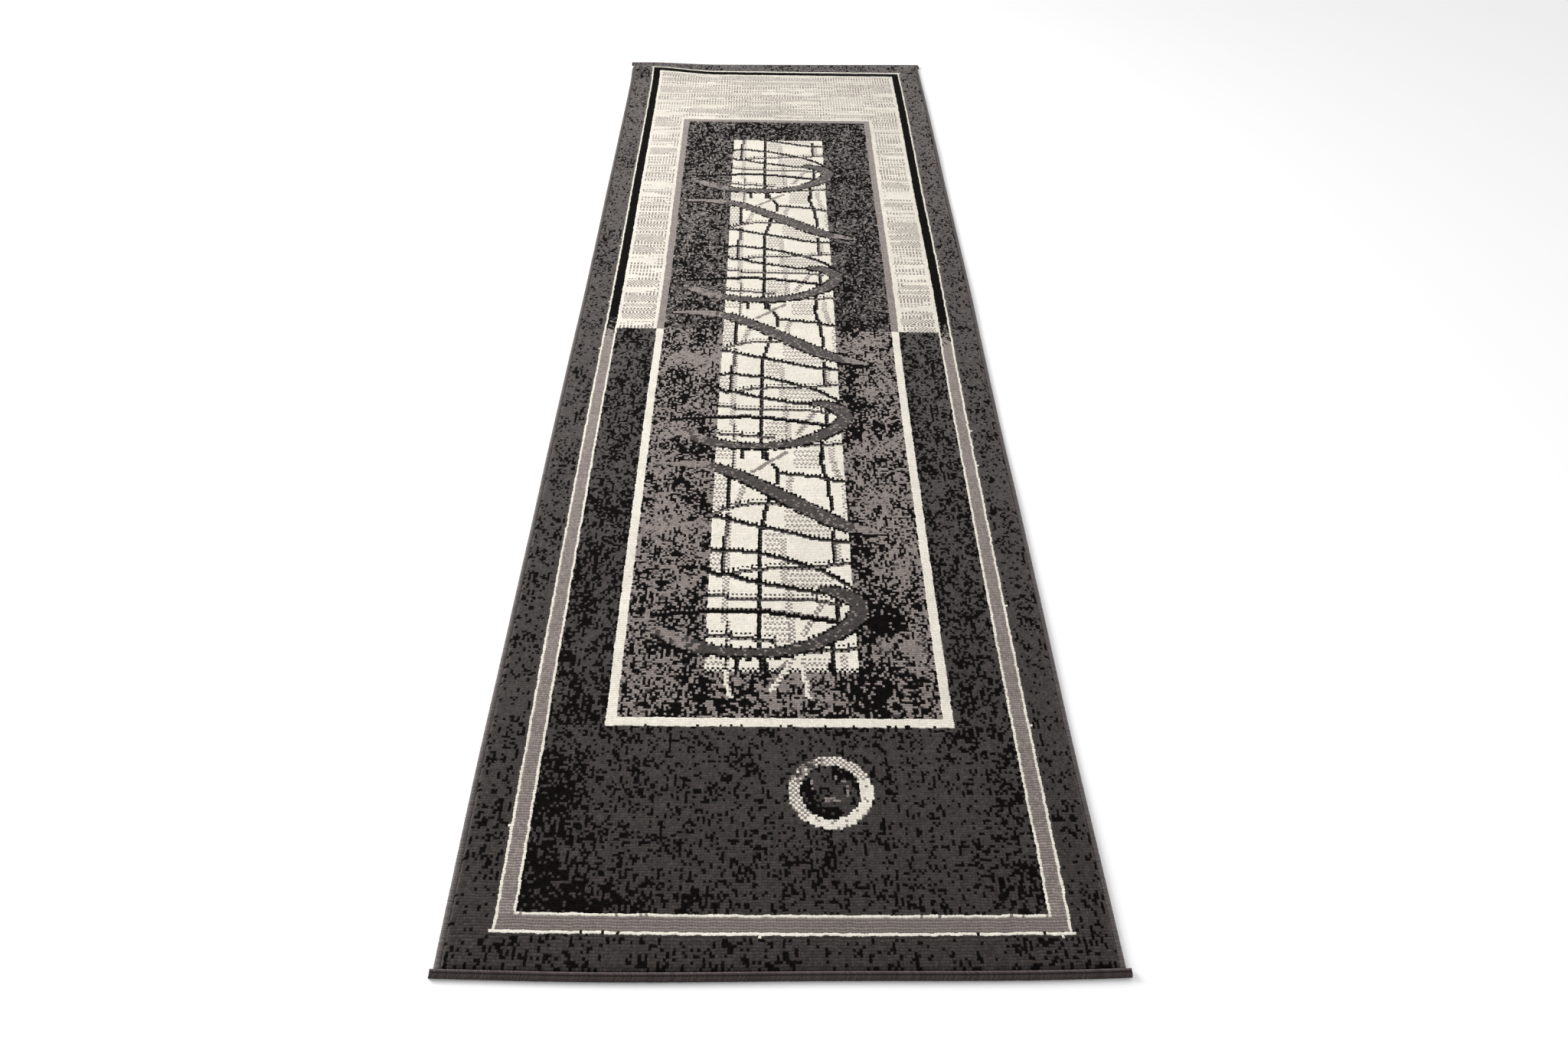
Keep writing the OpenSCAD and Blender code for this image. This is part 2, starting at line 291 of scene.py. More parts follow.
def weave_light_frame():
    """Cream with thin streaks of taupe: dots, upright ticks and checks."""
    frame_area = within("light_frame_left", "light_frame_right", "light_frame_back")
    streak = even(cloud(34, 2.6) + 0.30 * cloud(9, 1.8) + 0.4 * cloud(55, 9))
    even_col, even_row = COL % 2 == 0, ROW % 2 == 0
    yarn[frame_area] = CREAM
    dots = (streak > 0.14) & (streak < 0.36) & even_col & even_row
    ticks = (streak > 0.36) & (streak < 0.74) & even_col & (ROW % 4 > 0)
    checks = (streak > 0.74) & (even_col == even_row)
    yarn[frame_area & (dots | checks | ticks)] = TAUPE
    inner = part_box("light_frame_left")
    edge = 2 * TUFT_X
    outer_edge = (X < inner[0].x + edge) | (X > -inner[0].x - edge)
    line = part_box("taupe_line")
    beside_line = (X > line[0].x - edge) & (X < line[1].x + edge) & (Y < line[1].y + edge)
    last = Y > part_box("light_frame_back")[1].y - 2 * TUFT_Y
    yarn[frame_area & (outer_edge | beside_line | last)] = CREAM


def weave_dark_frame():
    """Charcoal with black, blackest down the left and by the front-left corner."""
    sides = within("dark_frame_left", "dark_frame_right")
    left_share = 0.50 + 0.40 * (even(cloud(6, 12)) - 0.5)
    right_share = 0.42 + 0.40 * (even(cloud(6, 12)) - 0.5)
    mottle(sides, np.where(X < 0, left_share, right_share))
    front = within("dark_frame_front")
    corner = smoothstep(-0.19, -0.27, X) * smoothstep(-0.93, -0.99, Y)
    foot = smoothstep(-1.10, -1.165, Y) * smoothstep(-0.08, -0.20, X)
    right_edge = smoothstep(0.22, 0.275, X)
    top = smoothstep(-0.96, -0.92, Y)
    share = 0.14 + 0.22 * even(cloud(10, 9)) ** 1.5 + 0.52 * corner + 0.50 * foot
    share = share + 0.22 * right_edge + 0.06 * top
    mottle(front, np.minimum(share, 0.80))


# Where black gathers in the field round the panel, over one pitch, in millimetres from the rug's middle
# and from the lowest point of the oval: (x, y, half width, half height, strength)
FIELD_BLOTS = [
    (-135, 345, 24, 42, 0.30), (-118, 300, 20, 24, 0.24), (-165, 190, 22, 26, 0.26),
    (-160, 120, 18, 26, 0.20), (-140, 73, 32, 12, 0.40), (-138, 5, 26, 26, 0.26),
    (-120, 250, 60, 16, -0.42), (-172, 40, 14, 26, -0.25), (-120, 130, 16, 20, -0.18),
    (-170, 320, 14, 30, -0.20), (120, 200, 24, 30, 0.26), (132, 125, 18, 44, 0.24),
    (142, 66, 34, 30, 0.36), (118, 40, 18, 18, 0.25), (160, 5, 38, 22, -0.34),
    (170, 165, 20, 22, -0.34), (150, 300, 30, 26, -0.20), (125, 350, 24, 40, 0.22),
]


def gather():
    """How much more or less black each tuft of the field holds, from FIELD_BLOTS."""
    total = np.zeros((ROWS, COLS))
    for i in range(-1, OVALS):
        for x, y, half_w, half_h, strength in FIELD_BLOTS:
            across = (X - x * MM) / (half_w * MM)
            along = (Y - oval_y - i * SWEEP_PITCH - y * MM) / (half_h * MM)
            total += strength * np.exp(-(across ** 2 + along ** 2))
    return total


def weave_fields():
    """The field round the panel: charcoal and black above the middle, open taupe with black below it."""
    upper = within("upper_field_left", "upper_field_right", "upper_field_back")
    lower = within("lower_field_left", "lower_field_right", "lower_field_front")
    field = upper | lower
    grain = flecks()
    split = Y + 20 * MM * (cloud(4, 3) - 0.5) > SPLIT_Y
    clumps = even(cloud(5, 7) + 0.8 * cloud(12, 16))
    to_panel = np.minimum(np.abs(X - panel_low.x), np.abs(X - panel_high.x))
    beside_panel = smoothstep(40 * MM, 10 * MM, to_panel)
    front_right = smoothstep(0.02, 0.15, X) * smoothstep(-0.76, -0.84, Y)
    gathered = gather()
    lower_black = 0.40 + 0.36 * (clumps - 0.5) + 0.06 * beside_panel + 0.16 * front_right + gathered
    upper_black = 0.45 + 0.04 * (X > 0) + 0.24 * (clumps - 0.5) + 0.4 * gathered
    upper_black = upper_black + 0.13 * smoothstep(0.70, 0.80, Y)
    soft = even(cloud(1.2, 1.2) + 0.8 * rng.random((ROWS, COLS)))
    yarn[field] = TAUPE
    yarn[upper & split & (soft < np.where(X < 0, 0.70, 0.86))] = CHARCOAL
    yarn[field & ~split & (soft < 0.12)] = CHARCOAL
    yarn[field & (grain < np.where(split, upper_black, lower_black))] = BLACK


def weave_lines():
    yarn[within("taupe_line")] = TAUPE
    line = within("cream_line")
    yarn[line] = CREAM
    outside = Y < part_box("cream_line")[0].y + TUFT_Y
    yarn[line & outside & (rng.random((ROWS, COLS)) < 0.12)] = BLACK


def weave_ring():
    """A cream and checked ring, worn at its upper left, round a dark centre with black crescents."""
    low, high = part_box("ring")
    mid = (low + high) / 2
    right, up = (X - mid.x) / MM, (Y - mid.y) / MM
    angle = np.degrees(np.arctan2(up, right))
    reach = np.hypot(right, up * (high.x - low.x) / (high.y - low.y))
    chance = rng.random((ROWS, COLS))
    ring = within("ring")
    yarn[ring] = TAUPE
    yarn[ring & ((COL + ROW) % 2 == 0)] = CREAM
    yarn[ring & (angle > -125) & (angle < 25) & (chance < 0.82)] = CREAM
    bare = (angle > 98) & (angle < 158)
    patchy = ring & bare & (chance < 0.8)
    yarn[patchy] = np.where(chance < 0.35, CHARCOAL, TAUPE)[patchy]
    centre = within("ring_centre")
    mottle(centre, 0.22)
    left_crescent = (reach > 21) & (np.abs((angle - 215) % 360 - 180) > 105)
    right_crescent = (reach > 25) & (angle > 15) & (angle < 88)
    spot = np.hypot((right - 8) / 6, (up - 22) / 8) < 1
    yarn[centre & (left_crescent | right_crescent | spot) & (chance < 0.88)] = BLACK
    arc = (np.abs(reach - 20) < 2.4) & (angle > -25) & (angle < 78)
    bits = (np.hypot((right + 21) / 3, (up - 12) / 8) < 1) | (np.hypot(right / 13, (up + 11) / 3) < 1)
    yarn[centre & (arc | bits) & (chance < 0.62)] = TAUPE


# The drawn lines of the panel over one pitch. Points are in millimetres from the rug's middle and from
# the lowest point of the oval. The last entry of each line says how it is woven.
PANEL_LINES = [
    ([(-23, 440), (-17, 421), (-15, 405)], "upright"),
    ([(-9, 400), (-2, 384), (-2, 351)], "upright"),
    ([(-10, 323), (-16, 304), (-20, 279), (-25, 246), (-26, 157), (-26, 7)], "upright"),
    ([(-22, -10), (-22, -32)], "upright"),
    ([(-66, 440), (-67, 390)], "twist dark"),
    ([(-74, 368), (-73, 290)], "upright"),
    ([(-74, 279), (-76, 157), (-76, 146)], "upright"),
    ([(-70, 279), (-71, 157)], "twist"),
    ([(-71, 146), (-71, 57)], "twist"),
    ([(-67, 57), (-67, 18)], "twist dark"),
    ([(-55, -7), (-55, -32)], "upright"),
    ([(67, 443), (64, 410), (68, 379), (74, 346), (76, 290)], "upright"),
    ([(77, 240), (77, 173)], "upright"),
    ([(83, 225), (83, 172)], "twist"),
    ([(77, 104), (77, 59)], "upright"),
    ([(68, 15), (68, -32)], "upright"),
    ([(20, 371), (17, 337)], "twist"),
    ([(9, 223), (7, 132)], "twist"),
    ([(13, 132), (13, 70)], "twist"),
    ([(17, 68), (17, 18)], "twist"),
    ([(82, 440), (85, 393), (92, 365)], "twist"),
    ([(15, 429), (-35, 379)], "strand"),
    ([(-47, 351), (-58, 304), (-64, 290)], "twist"),
    ([(57, 90), (32, 32)], "twist"),
    ([(-95, 197), (-85, 201), (-64, 201), (-35, 195), (-23, 194), (6, 184), (23, 177), (47, 166),
      (64, 157), (82, 143), (96, 129), (101, 120), (122, 84)], "level"),
    ([(-67, 150), (-47, 158), (-6, 164), (23, 165), (47, 166), (70, 170), (99, 175)], "dotted"),
    ([(-67, 150), (-47, 140), (-23, 133), (6, 126), (32, 119), (58, 116)], "level"),
    ([(-95, 158), (-82, 148), (-67, 150)], "level"),
    ([(-92, 109), (-70, 107), (-67, 102), (47, 101), (82, 93)], "double"),
    ([(-166, 69), (-143, 72), (-114, 75), (-87, 77), (-47, 79), (-23, 77), (-6, 75), (23, 70),
      (52, 64), (85, 57)], "heavy"),
    ([(-95, 34), (-82, 32), (-47, 29), (-23, 25), (-6, 23)], "dotted"),
    ([(99, 11), (82, 8), (70, 7), (35, 4)], "dotted"),
    ([(0, 377), (23, 375), (50, 371), (70, 368), (82, 362), (102, 358)], "level"),
    ([(-93, 273), (-79, 271), (-61, 264), (-35, 255), (-20, 251), (6, 243), (32, 234), (52, 227),
      (76, 222), (99, 221)], "level"),
    ([(-93, 279), (-76, 290), (-52, 300), (-35, 304), (-12, 305), (6, 302)], "dotted"),
]
# Checked patches over one pitch: (x low, x high, y low, y high)
PANEL_PATCHES = [
    (-93, -77, 157, 193), (10, 76, 120, 159), (-20, 17, 16, 69), (-93, -64, -32, -7), (25, 64, 390, 437),
    (-93, -76, 290, 368), (10, 76, 234, 293), (-20, 10, 198, 240), (93, 100, 276, 354),
]
# Pale strands that hang out of the panel's front edge, below the lowest oval
ROOTLETS = [
    [(-67, -32), (-66, -55), (-61, -77)], [(20, 1), (7, -32), (-12, -66)], [(26, -7), (32, -55), (35, -77)],
]


def trace(points, base_y):
    """Tuft columns and rows that a broken line passes over, in order and without repeats."""
    p = np.array(points, float) * MM
    p[:, 1] += base_y
    seen = []
    for a, b in zip(p[:-1], p[1:]):
        steps = max(2, int(np.hypot(*(b - a)) / (0.5 * MM)))
        for t in np.linspace(0, 1, steps):
            x, y = a + (b - a) * t
            cell = (int((x - FIELD_X0) / TUFT_X), int((y - FIELD_Y0) / TUFT_Y))
            if not seen or seen[-1] != cell:
                seen.append(cell)
    return seen


def put(allowed, col, row, kind):
    if 0 <= col < COLS and 0 <= row < ROWS and allowed[row, col]:
        yarn[row, col] = kind


def draw_line(points, style, base_y, allowed):
    """Weaves one line of the panel tuft by tuft."""
    for col, row in trace(points, base_y):
        if style == "upright":
            put(allowed, col, row, BLACK)
            put(allowed, col + 1, row, BLACK if row % 2 else CHARCOAL)
        elif style == "level":
            put(allowed, col, row, BLACK)
            put(allowed, col, row - 1, CHARCOAL)
            if col % 2 == 0:
                put(allowed, col, row + 1, BLACK)
        elif style == "heavy":
            put(allowed, col, row, BLACK)
            put(allowed, col, row - 1, BLACK)
            put(allowed, col, row + 1, TAUPE if col % 2 else BLACK)
        elif style == "dotted":
            put(allowed, col, row, BLACK if col % 2 else CHARCOAL)
            put(allowed, col, row - 1, BLACK if (col + row) % 3 == 0 else TAUPE)
            if col % 2 == 0:
                put(allowed, col, row + 2, BLACK)
        elif style == "double":
            put(allowed, col, row, TAUPE if col % 2 else BLACK)
            put(allowed, col, row - 1, CHARCOAL)
            if col % 2 == 0:
                put(allowed, col, row + 2, CHARCOAL)
        elif style == "strand":
            put(allowed, col, row, TAUPE)
            put(allowed, col - 1, row, TAUPE)
        elif style == "twist dark":
            put(allowed, col, row, BLACK if row % 2 else TAUPE)
            put(allowed, col + 1, row, TAUPE if row % 2 else CREAM)
        else:
            for beside in (-1, 0, 1):
                if (beside + row) % 2 == 0:
                    put(allowed, col + beside, row, TAUPE)


def weave_panel():
    panel = within("centre_panel")
    yarn[panel] = CREAM
    inside = panel | within("lower_field_left", "upper_field_left", "lower_field_right", "upper_field_right")
    checked = ((COL + ROW) % 2 == 0) & (ROW % 3 > 0)
    for i in range(-1, OVALS):
        base = oval_y + i * SWEEP_PITCH
        for x0, x1, y0, y1 in PANEL_PATCHES:
            patch = (X > x0 * MM) & (X < x1 * MM) & (Y > base + y0 * MM) & (Y < base + y1 * MM)
            yarn[panel & patch & checked] = TAUPE
        for points, style in PANEL_LINES:
            draw_line(points, style, base, inside if style == "heavy" and i >= 0 else panel)
    front_row = panel & (Y < panel_low.y + 2 * TUFT_Y)
    yarn[front_row & ((COL + ROW) % 2 == 0)] = BLACK
    field_front = panel | within("lower_field_front")
    for strand in ROOTLETS:
        for col, row in trace(strand, oval_y):
            put(field_front, col, row, CREAM)
            put(field_front, col + 1, row, CREAM if row % 2 else TAUPE)
    top = panel_high.y
    for x in (-66, 12, 86):
        for col, row in trace([(x, 0), (x + 3, 22)], top):
            put(within("upper_field_back"), col + row % 2, row, TAUPE)


def weave_sweeps():
    """Charcoal strokes that fade to taupe at their tips, outlined in black over the panel."""
    sweeps = within("oval_sweeps", "diagonal_sweeps")
    yarn[sweeps] = CHARCOAL
    grain = rng.random((ROWS, COLS))
    yarn[sweeps & (grain < 0.12)] = TAUPE
    to_tips = smoothstep(-0.085, -0.125, X) + 0.8 * smoothstep(0.100, 0.115, X)
    faded = np.where(within("diagonal_sweeps"), to_tips, 0.62 * smoothstep(-0.08, -0.15, X))
    yarn[sweeps & (even(cloud(2, 1.4)) < faded)] = TAUPE
    inside = np.pad(sweeps, 1)
    below = ~inside[:-2, 1:-1]
    right = ~inside[1:-1, 2:]
    above = ~inside[2:, 1:-1]
    yarn[sweeps & (below | right) & (grain > 0.15) & (X > panel_low.x)] = BLACK
    left = ~inside[1:-1, :-2]
    yarn[sweeps & (above | left) & (grain > 0.25) & (X > 0.05) & within("oval_sweeps")] = BLACK
    yarn[sweeps & above & (X > panel_low.x) & (COL % 2 == 0) & (grain < 0.6)] = BLACK
    # Short black hairs stand on the upper edge, and a dark line follows the lower one
    hairs = inside[:-2, 1:-1] & ~sweeps & (COL % 2 == 0) & (grain < 0.75)
    under = inside[2:, 1:-1] & ~sweeps & (grain < 0.55)
    yarn[(hairs | under) & (np.abs(X) < 0.19) & (Y > panel_low.y)] = BLACK


def tuft_shades():
    """A shade for each tuft from 0 to 1. Charcoal tufts next to black ones are darker than the rest."""
    shade = rng.random((ROWS, COLS))
    black = np.pad(yarn == BLACK, 1).astype(float)
    around = (black[:-2, 1:-1] + black[2:, 1:-1] + black[1:-1, :-2] + black[1:-1, 2:]) / 4
    shade = np.where(yarn == CHARCOAL, shade * (1 - 0.75 * around), shade)
    # Every other row of the front band is darker, painted shade for the gaps between its ribs, and its other
    # rows are held dark as well, painted shade for the dimmer light at the front end
    end_band = within("taupe_band") & (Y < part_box("inner_pinstripe")[0].y)
    return np.where(end_band, np.where(ROW % 2 == 0, 0.0, 0.15 + 0.2 * shade), shade)


def weave_chart():
    paint_areas()
    weave_border()
    weave_bands()
    weave_light_frame()
    weave_dark_frame()
    weave_fields()
    weave_lines()
    weave_panel()
    weave_sweeps()
    weave_ring()


# ---------------------------------------------------------------- materials


class Nodes:
    """A short way to write a shader's node tree."""

    def __init__(self, name):
        self.material = bpy.data.materials.new(name)
        self.material.use_nodes = True
        self.tree = self.material.node_tree
        self.shader = self.tree.nodes["Principled BSDF"]
        coordinates = self.tree.nodes.new("ShaderNodeTexCoord")
        self.place = coordinates.outputs["Object"]

    def link(self, value, socket):
        if isinstance(value, (int, float, tuple)):
            socket.default_value = value
        else:
            self.tree.links.new(value, socket)

    def math(self, operation, a, b=0.0):
        node = self.tree.nodes.new("ShaderNodeMath")
        node.operation = operation
        self.link(a, node.inputs[0])
        self.link(b, node.inputs[1])
        return node.outputs[0]

    def attribute(self, name):
        node = self.tree.nodes.new("ShaderNodeAttribute")
        node.attribute_name = name
        return node.outputs["Fac"]

    def stretched(self, scale):
        node = self.tree.nodes.new("ShaderNodeMapping")
        node.inputs["Scale"].default_value = scale
        self.link(self.place, node.inputs["Vector"])
        return node.outputs[0]

    def noise(self, scale, detail=2.0, vector=None):
        node = self.tree.nodes.new("ShaderNodeTexNoise")
        node.inputs["Scale"].default_value = scale
        node.inputs["Detail"].default_value = detail
        self.link(vector or self.place, node.inputs["Vector"])
        return node.outputs["Fac"]

    def cells(self, scale, vector=None):
        node = self.tree.nodes.new("ShaderNodeTexVoronoi")
        node.inputs["Scale"].default_value = scale
        self.link(vector or self.place, node.inputs["Vector"])
        return node.outputs["Distance"]

    def spread(self, value, low, high, source=(0.0, 1.0)):
        """value, which runs over source, spread from low to high."""
        node = self.tree.nodes.new("ShaderNodeMapRange")
        self.link(value, node.inputs["Value"])
        node.inputs["From Min"].default_value, node.inputs["From Max"].default_value = source
        node.inputs["To Min"].default_value, node.inputs["To Max"].default_value = low, high
        return node.outputs["Result"]

    def product(self, *values):
        out = values[0]
        for value in values[1:]:
            out = self.math("MULTIPLY", out, value)
        return out

    def tone(self, colour, factor):
        """One colour made lighter and darker by a factor."""
        node = self.tree.nodes.new("ShaderNodeVectorMath")
        node.operation = "SCALE"
        node.inputs[0].default_value = colour
        self.link(factor, node.inputs["Scale"])
        self.tree.links.new(node.outputs[0], self.shader.inputs["Base Color"])

    def bump(self, height, strength, distance):
        node = self.tree.nodes.new("ShaderNodeBump")
        node.inputs["Strength"].default_value = strength
        node.inputs["Distance"].default_value = distance
        self.link(height, node.inputs["Height"])
        self.tree.links.new(node.outputs[0], self.shader.inputs["Normal"])

    def finish(self, sheen, sheen_roughness=0.5, specular=0.12):
        self.shader.inputs["Sheen Weight"].default_value = sheen
        self.shader.inputs["Sheen Roughness"].default_value = sheen_roughness
        self.shader.inputs["Sheen Tint"].default_value = (1.0, 0.92, 0.88, 1.0)
        self.shader.inputs["Specular IOR Level"].default_value = specular
        return self.material


def yarn_material(name, colour, sheen, contrast=1.0, root_shade=0.8, specular=0.08):
    """Cut pile of one yarn: fibre ends in each tuft, a shade of its own for each tuft, and painted shade down
    at the roots between tufts.
    """
    n = Nodes(name)
    fibre = n.noise(1500.0, 3.0)
    clump = n.noise(420.0, 2.0)
    ends = n.cells(1700.0)
    # Painted light and shade: nap and swath make slow random swaths a little lighter and darker, as pile
    # lying different ways catches the light
    nap = n.noise(9.0, 3.0)
    swath = n.noise(3.0, 2.0, n.stretched((0.6, 12.0, 1.0)))
    factor = n.product(
        n.spread(fibre, 1 - 0.40 * contrast, 1 + 0.40 * contrast, (0.25, 0.75)),
        n.spread(clump, 1 - 0.22 * contrast, 1 + 0.22 * contrast, (0.3, 0.7)),
        n.spread(ends, 1 + 0.14 * contrast, 1 - 0.20 * contrast),
        n.spread(n.attribute("tuft"), 1 - 0.45 * contrast, 1 + 0.38 * contrast),
        n.spread(nap, 0.94, 1.06, (0.3, 0.7)),
        n.spread(swath, 0.96, 1.04, (0.3, 0.7)),
        # Painted shade: darker towards the valleys between tufts, by root_shade at the deepest, and lighter
        # on their crowns
        n.spread(n.math("POWER", n.attribute("depth"), 0.7), 1 - root_shade, 1.16),
    )
    n.tone(colour, factor)
    n.link(n.spread(fibre, 0.72, 0.95, (0.3, 0.7)), n.shader.inputs["Roughness"])
    n.bump(n.math("SUBTRACT", fibre, n.math("MULTIPLY", ends, 0.5)), 0.55, 0.5 * MM)
    return n.finish(sheen, 0.5, specular)


def binding_material(name, colour, sheen, specular):
    """Overlocked yarn: two-ply strands, with a painted highlight on each stitch and painted shade in the gaps
    between them.
    """
    n = Nodes(name)
    fibre = n.noise(1900.0, 3.0)
    drift = n.noise(40.0, 2.0)
    factor = n.product(
        n.spread(fibre, 0.72, 1.28, (0.25, 0.75)),
        n.spread(n.attribute("tuft"), 0.80, 1.22),
        n.spread(drift, 0.92, 1.08, (0.3, 0.7)),
        # Painted highlight and painted shade from the depth attribute: light on the stitch crowns, dark in
        # the gaps and the hem's groove
        n.spread(n.attribute("depth"), 0.08, 3.50, (0.0, 3.0)),
    )
    n.tone(colour, factor)
    n.link(n.spread(fibre, 0.5, 0.8, (0.3, 0.7)), n.shader.inputs["Roughness"])
    n.bump(fibre, 0.5, 0.3 * MM)
    return n.finish(sheen, 0.4, specular)


def ground_material(name, colour, size_across, size_along):
    """Plain-woven backing yarn, with its threads a pick and an end apart."""
    n = Nodes(name)
    threads = n.noise(1.0, 2.0, n.stretched((1 / size_across, 1 / size_along, 300.0)))
    slubs = n.noise(60.0, 3.0)
    fibre = n.noise(1200.0, 3.0)
    factor = n.product(
        n.spread(threads, 0.70, 1.25, (0.3, 0.7)),
        n.spread(slubs, 0.88, 1.12, (0.3, 0.7)),
        n.spread(fibre, 0.85, 1.15, (0.3, 0.7)),
        # Painted shade: darker where the depth attribute is low, the hollows between rows of the underside
        n.spread(n.attribute("depth"), 0.55, 1.05),
    )
    n.tone(colour, factor)
    n.link(n.spread(fibre, 0.75, 0.95, (0.3, 0.7)), n.shader.inputs["Roughness"])
    n.bump(n.math("ADD", threads, n.math("MULTIPLY", fibre, 0.4)), 0.6, 0.5 * MM)
    return n.finish(0.1)


# ---------------------------------------------------------------- meshes


def new_mesh(name, points, quads, caps=()):
    """A smooth mesh from arrays of points and quads, with any end faces as index lists."""
    mesh = bpy.data.meshes.new(name)
    loops = np.concatenate([np.asarray(quads).ravel(), *[np.asarray(cap) for cap in caps]])
    starts = list(np.arange(len(quads)) * 4)
    at = 4 * len(quads)
    for cap in caps:
        starts.append(at)
        at += len(cap)
    mesh.vertices.add(len(points))
    mesh.vertices.foreach_set("co", np.asarray(points, np.float32).ravel())
    mesh.loops.add(len(loops))
    mesh.loops.foreach_set("vertex_index", loops.astype(np.int32))
    mesh.polygons.add(len(starts))
    mesh.polygons.foreach_set("loop_start", np.array(starts, np.int32))
    mesh.update(calc_edges=True)
    mesh.validate()
    mesh.shade_smooth()
    return mesh


def set_attribute(mesh, name, domain, values):
    attribute = mesh.attributes.new(name, "FLOAT", domain)
    attribute.data.foreach_set("value", np.asarray(values, np.float32))


def add_piece(mesh, node, materials):
    """Puts a finished mesh in the scene in place of its CAD node."""
    for material in materials:
        mesh.materials.append(material)
    piece = bpy.data.objects.new(node + "_cloth", mesh)
    bpy.context.scene.collection.objects.link(piece)
    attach(piece, "root")
    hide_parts(node)
    return piece


def pile_grid():
    """Points of the whole pile surface, two steps to a tuft each way, and how near each is to a tip."""
    across = FIELD_X0 + np.arange(2 * COLS + 1) * TUFT_X / 2
    along = FIELD_Y0 + np.arange(2 * ROWS + 1) * TUFT_Y / 2
    x, y = np.meshgrid(across, along)
    odd_col = (np.arange(2 * COLS + 1) % 2 == 1)[None, :]
    odd_row = (np.arange(2 * ROWS + 1) % 2 == 1)[:, None]
    tip = odd_col & odd_row
    drop = np.where(tip, 0.0, np.where(odd_row, COLUMN_VALLEY, np.where(odd_col, ROW_VALLEY, CORNER_VALLEY)))
    depth = 1 - drop / CORNER_VALLEY
    shape = x.shape
    side = rng.uniform(-1, 1, (3, *shape))
    edge_x = np.minimum(np.arange(shape[1]), np.arange(shape[1])[::-1])[None, :]
    edge_y = np.minimum(np.arange(shape[0]), np.arange(shape[0])[::-1])[:, None]
    free = np.clip(np.minimum(edge_x, edge_y) / 6, 0, 1)
    lean_x = (cloud(9, 5, *shape) + 0.5 * cloud(4, 2.2, *shape) - 0.75) / 0.75 * LEAN_X * free
    lean_y = (cloud(5, 9, *shape) - 0.5) / 0.5 * LEAN_Y * free
    reach = np.where(tip, TIP_JITTER, VALLEY_JITTER)
    x = x + side[0] * reach + lean_x
    y = y + side[1] * reach * 0.75 + lean_y
    z = PILE_TOP - TIP_DROP - drop + side[2] * HEIGHT_JITTER
    # The outermost tufts lean down into the bindings
    for steps_in, fall in ((0, 3.2 * MM), (1, 0.9 * MM), (2, 0.3 * MM)):
        z = z - fall * np.maximum(edge_x == steps_in, edge_y == steps_in)
    points = np.column_stack((x.ravel(), y.ravel(), z.ravel()))
    return settle(points), depth.ravel()


def pile_piece(node, grid, depth, materials, shade):
    """One area of pile as one connected surface: four faces to a tuft, in that tuft's yarn."""
    rows, cols = np.nonzero(area == AREA[node])
    width = 2 * COLS + 1
    corner = np.repeat((2 * rows * width + 2 * cols)[:, None], 4, 1) + np.array([0, 1, width, width + 1])
    corner = corner.ravel()
    quads = np.column_stack((corner, corner + 1, corner + 1 + width, corner + width))
    used, local = np.unique(quads, return_inverse=True)
    mesh = new_mesh(node, grid[used], local.reshape(-1, 4))
    kinds, slots = np.unique(yarn[rows, cols], return_inverse=True)
    mesh.polygons.foreach_set("material_index", np.repeat(slots, 4).astype(np.int32))
    set_attribute(mesh, "tuft", "FACE", np.repeat(shade[rows, cols], 4))
    set_attribute(mesh, "depth", "POINT", depth[used])
    return add_piece(mesh, node, [materials[kind] for kind in kinds])


# Cross-sections of the bindings, as shares of their width and height. The first number runs in from
# the rug's edge and the second up from the floor; the third slants the stitches, in stitch lengths, and
# the fourth is how light the yarn is painted there: painted highlight and painted shade round the bead,
# darkest in the hem's groove, and on the hem's inner edge also its paler needle thread.
SERGING_SECTION = [
    (1.00, 0.02, 0.0, 0.3), (0.62, 0.00, 0.0, 0.4), (0.28, 0.05, 0.0, 0.5), (0.07, 0.24, 0.1, 0.7),
    (0.00, 0.50, 0.2, 0.9), (0.07, 0.76, 0.3, 1.0), (0.26, 0.94, 0.4, 1.1), (0.50, 1.00, 0.5, 0.7),
    (0.74, 0.97, 0.5, 0.9), (0.94, 0.84, 0.4, 1.0), (1.06, 0.55, 0.3, 0.2),
]
HEM_SECTION = [
    (1.00, 0.02, 0.0, 0.1), (0.66, 0.00, 0.0, 0.1), (0.34, 0.04, 0.0, 0.1), (0.10, 0.20, 0.2, 0.2),
    (0.00, 0.45, 0.6, 0.5), (0.06, 0.68, 1.0, 0.8), (0.20, 0.86, 1.5, 1.0), (0.38, 0.95, 2.0, 0.7),
    (0.48, 0.88, 2.2, 0.0), (0.60, 0.99, 1.8, 0.8), (0.78, 1.00, 1.3, 1.9), (0.94, 0.90, 0.8, 2.6),
    (1.06, 0.62, 0.5, 0.2),
]
STITCH = 1.9 * MM
SERGING_WAVER = 0.22       # how unevenly the stitches stand, as a share of one stitch
HEM_WAVER = 0.15
STRAND_SAMPLES = 4
STRAND_LIFT = 0.55 * MM


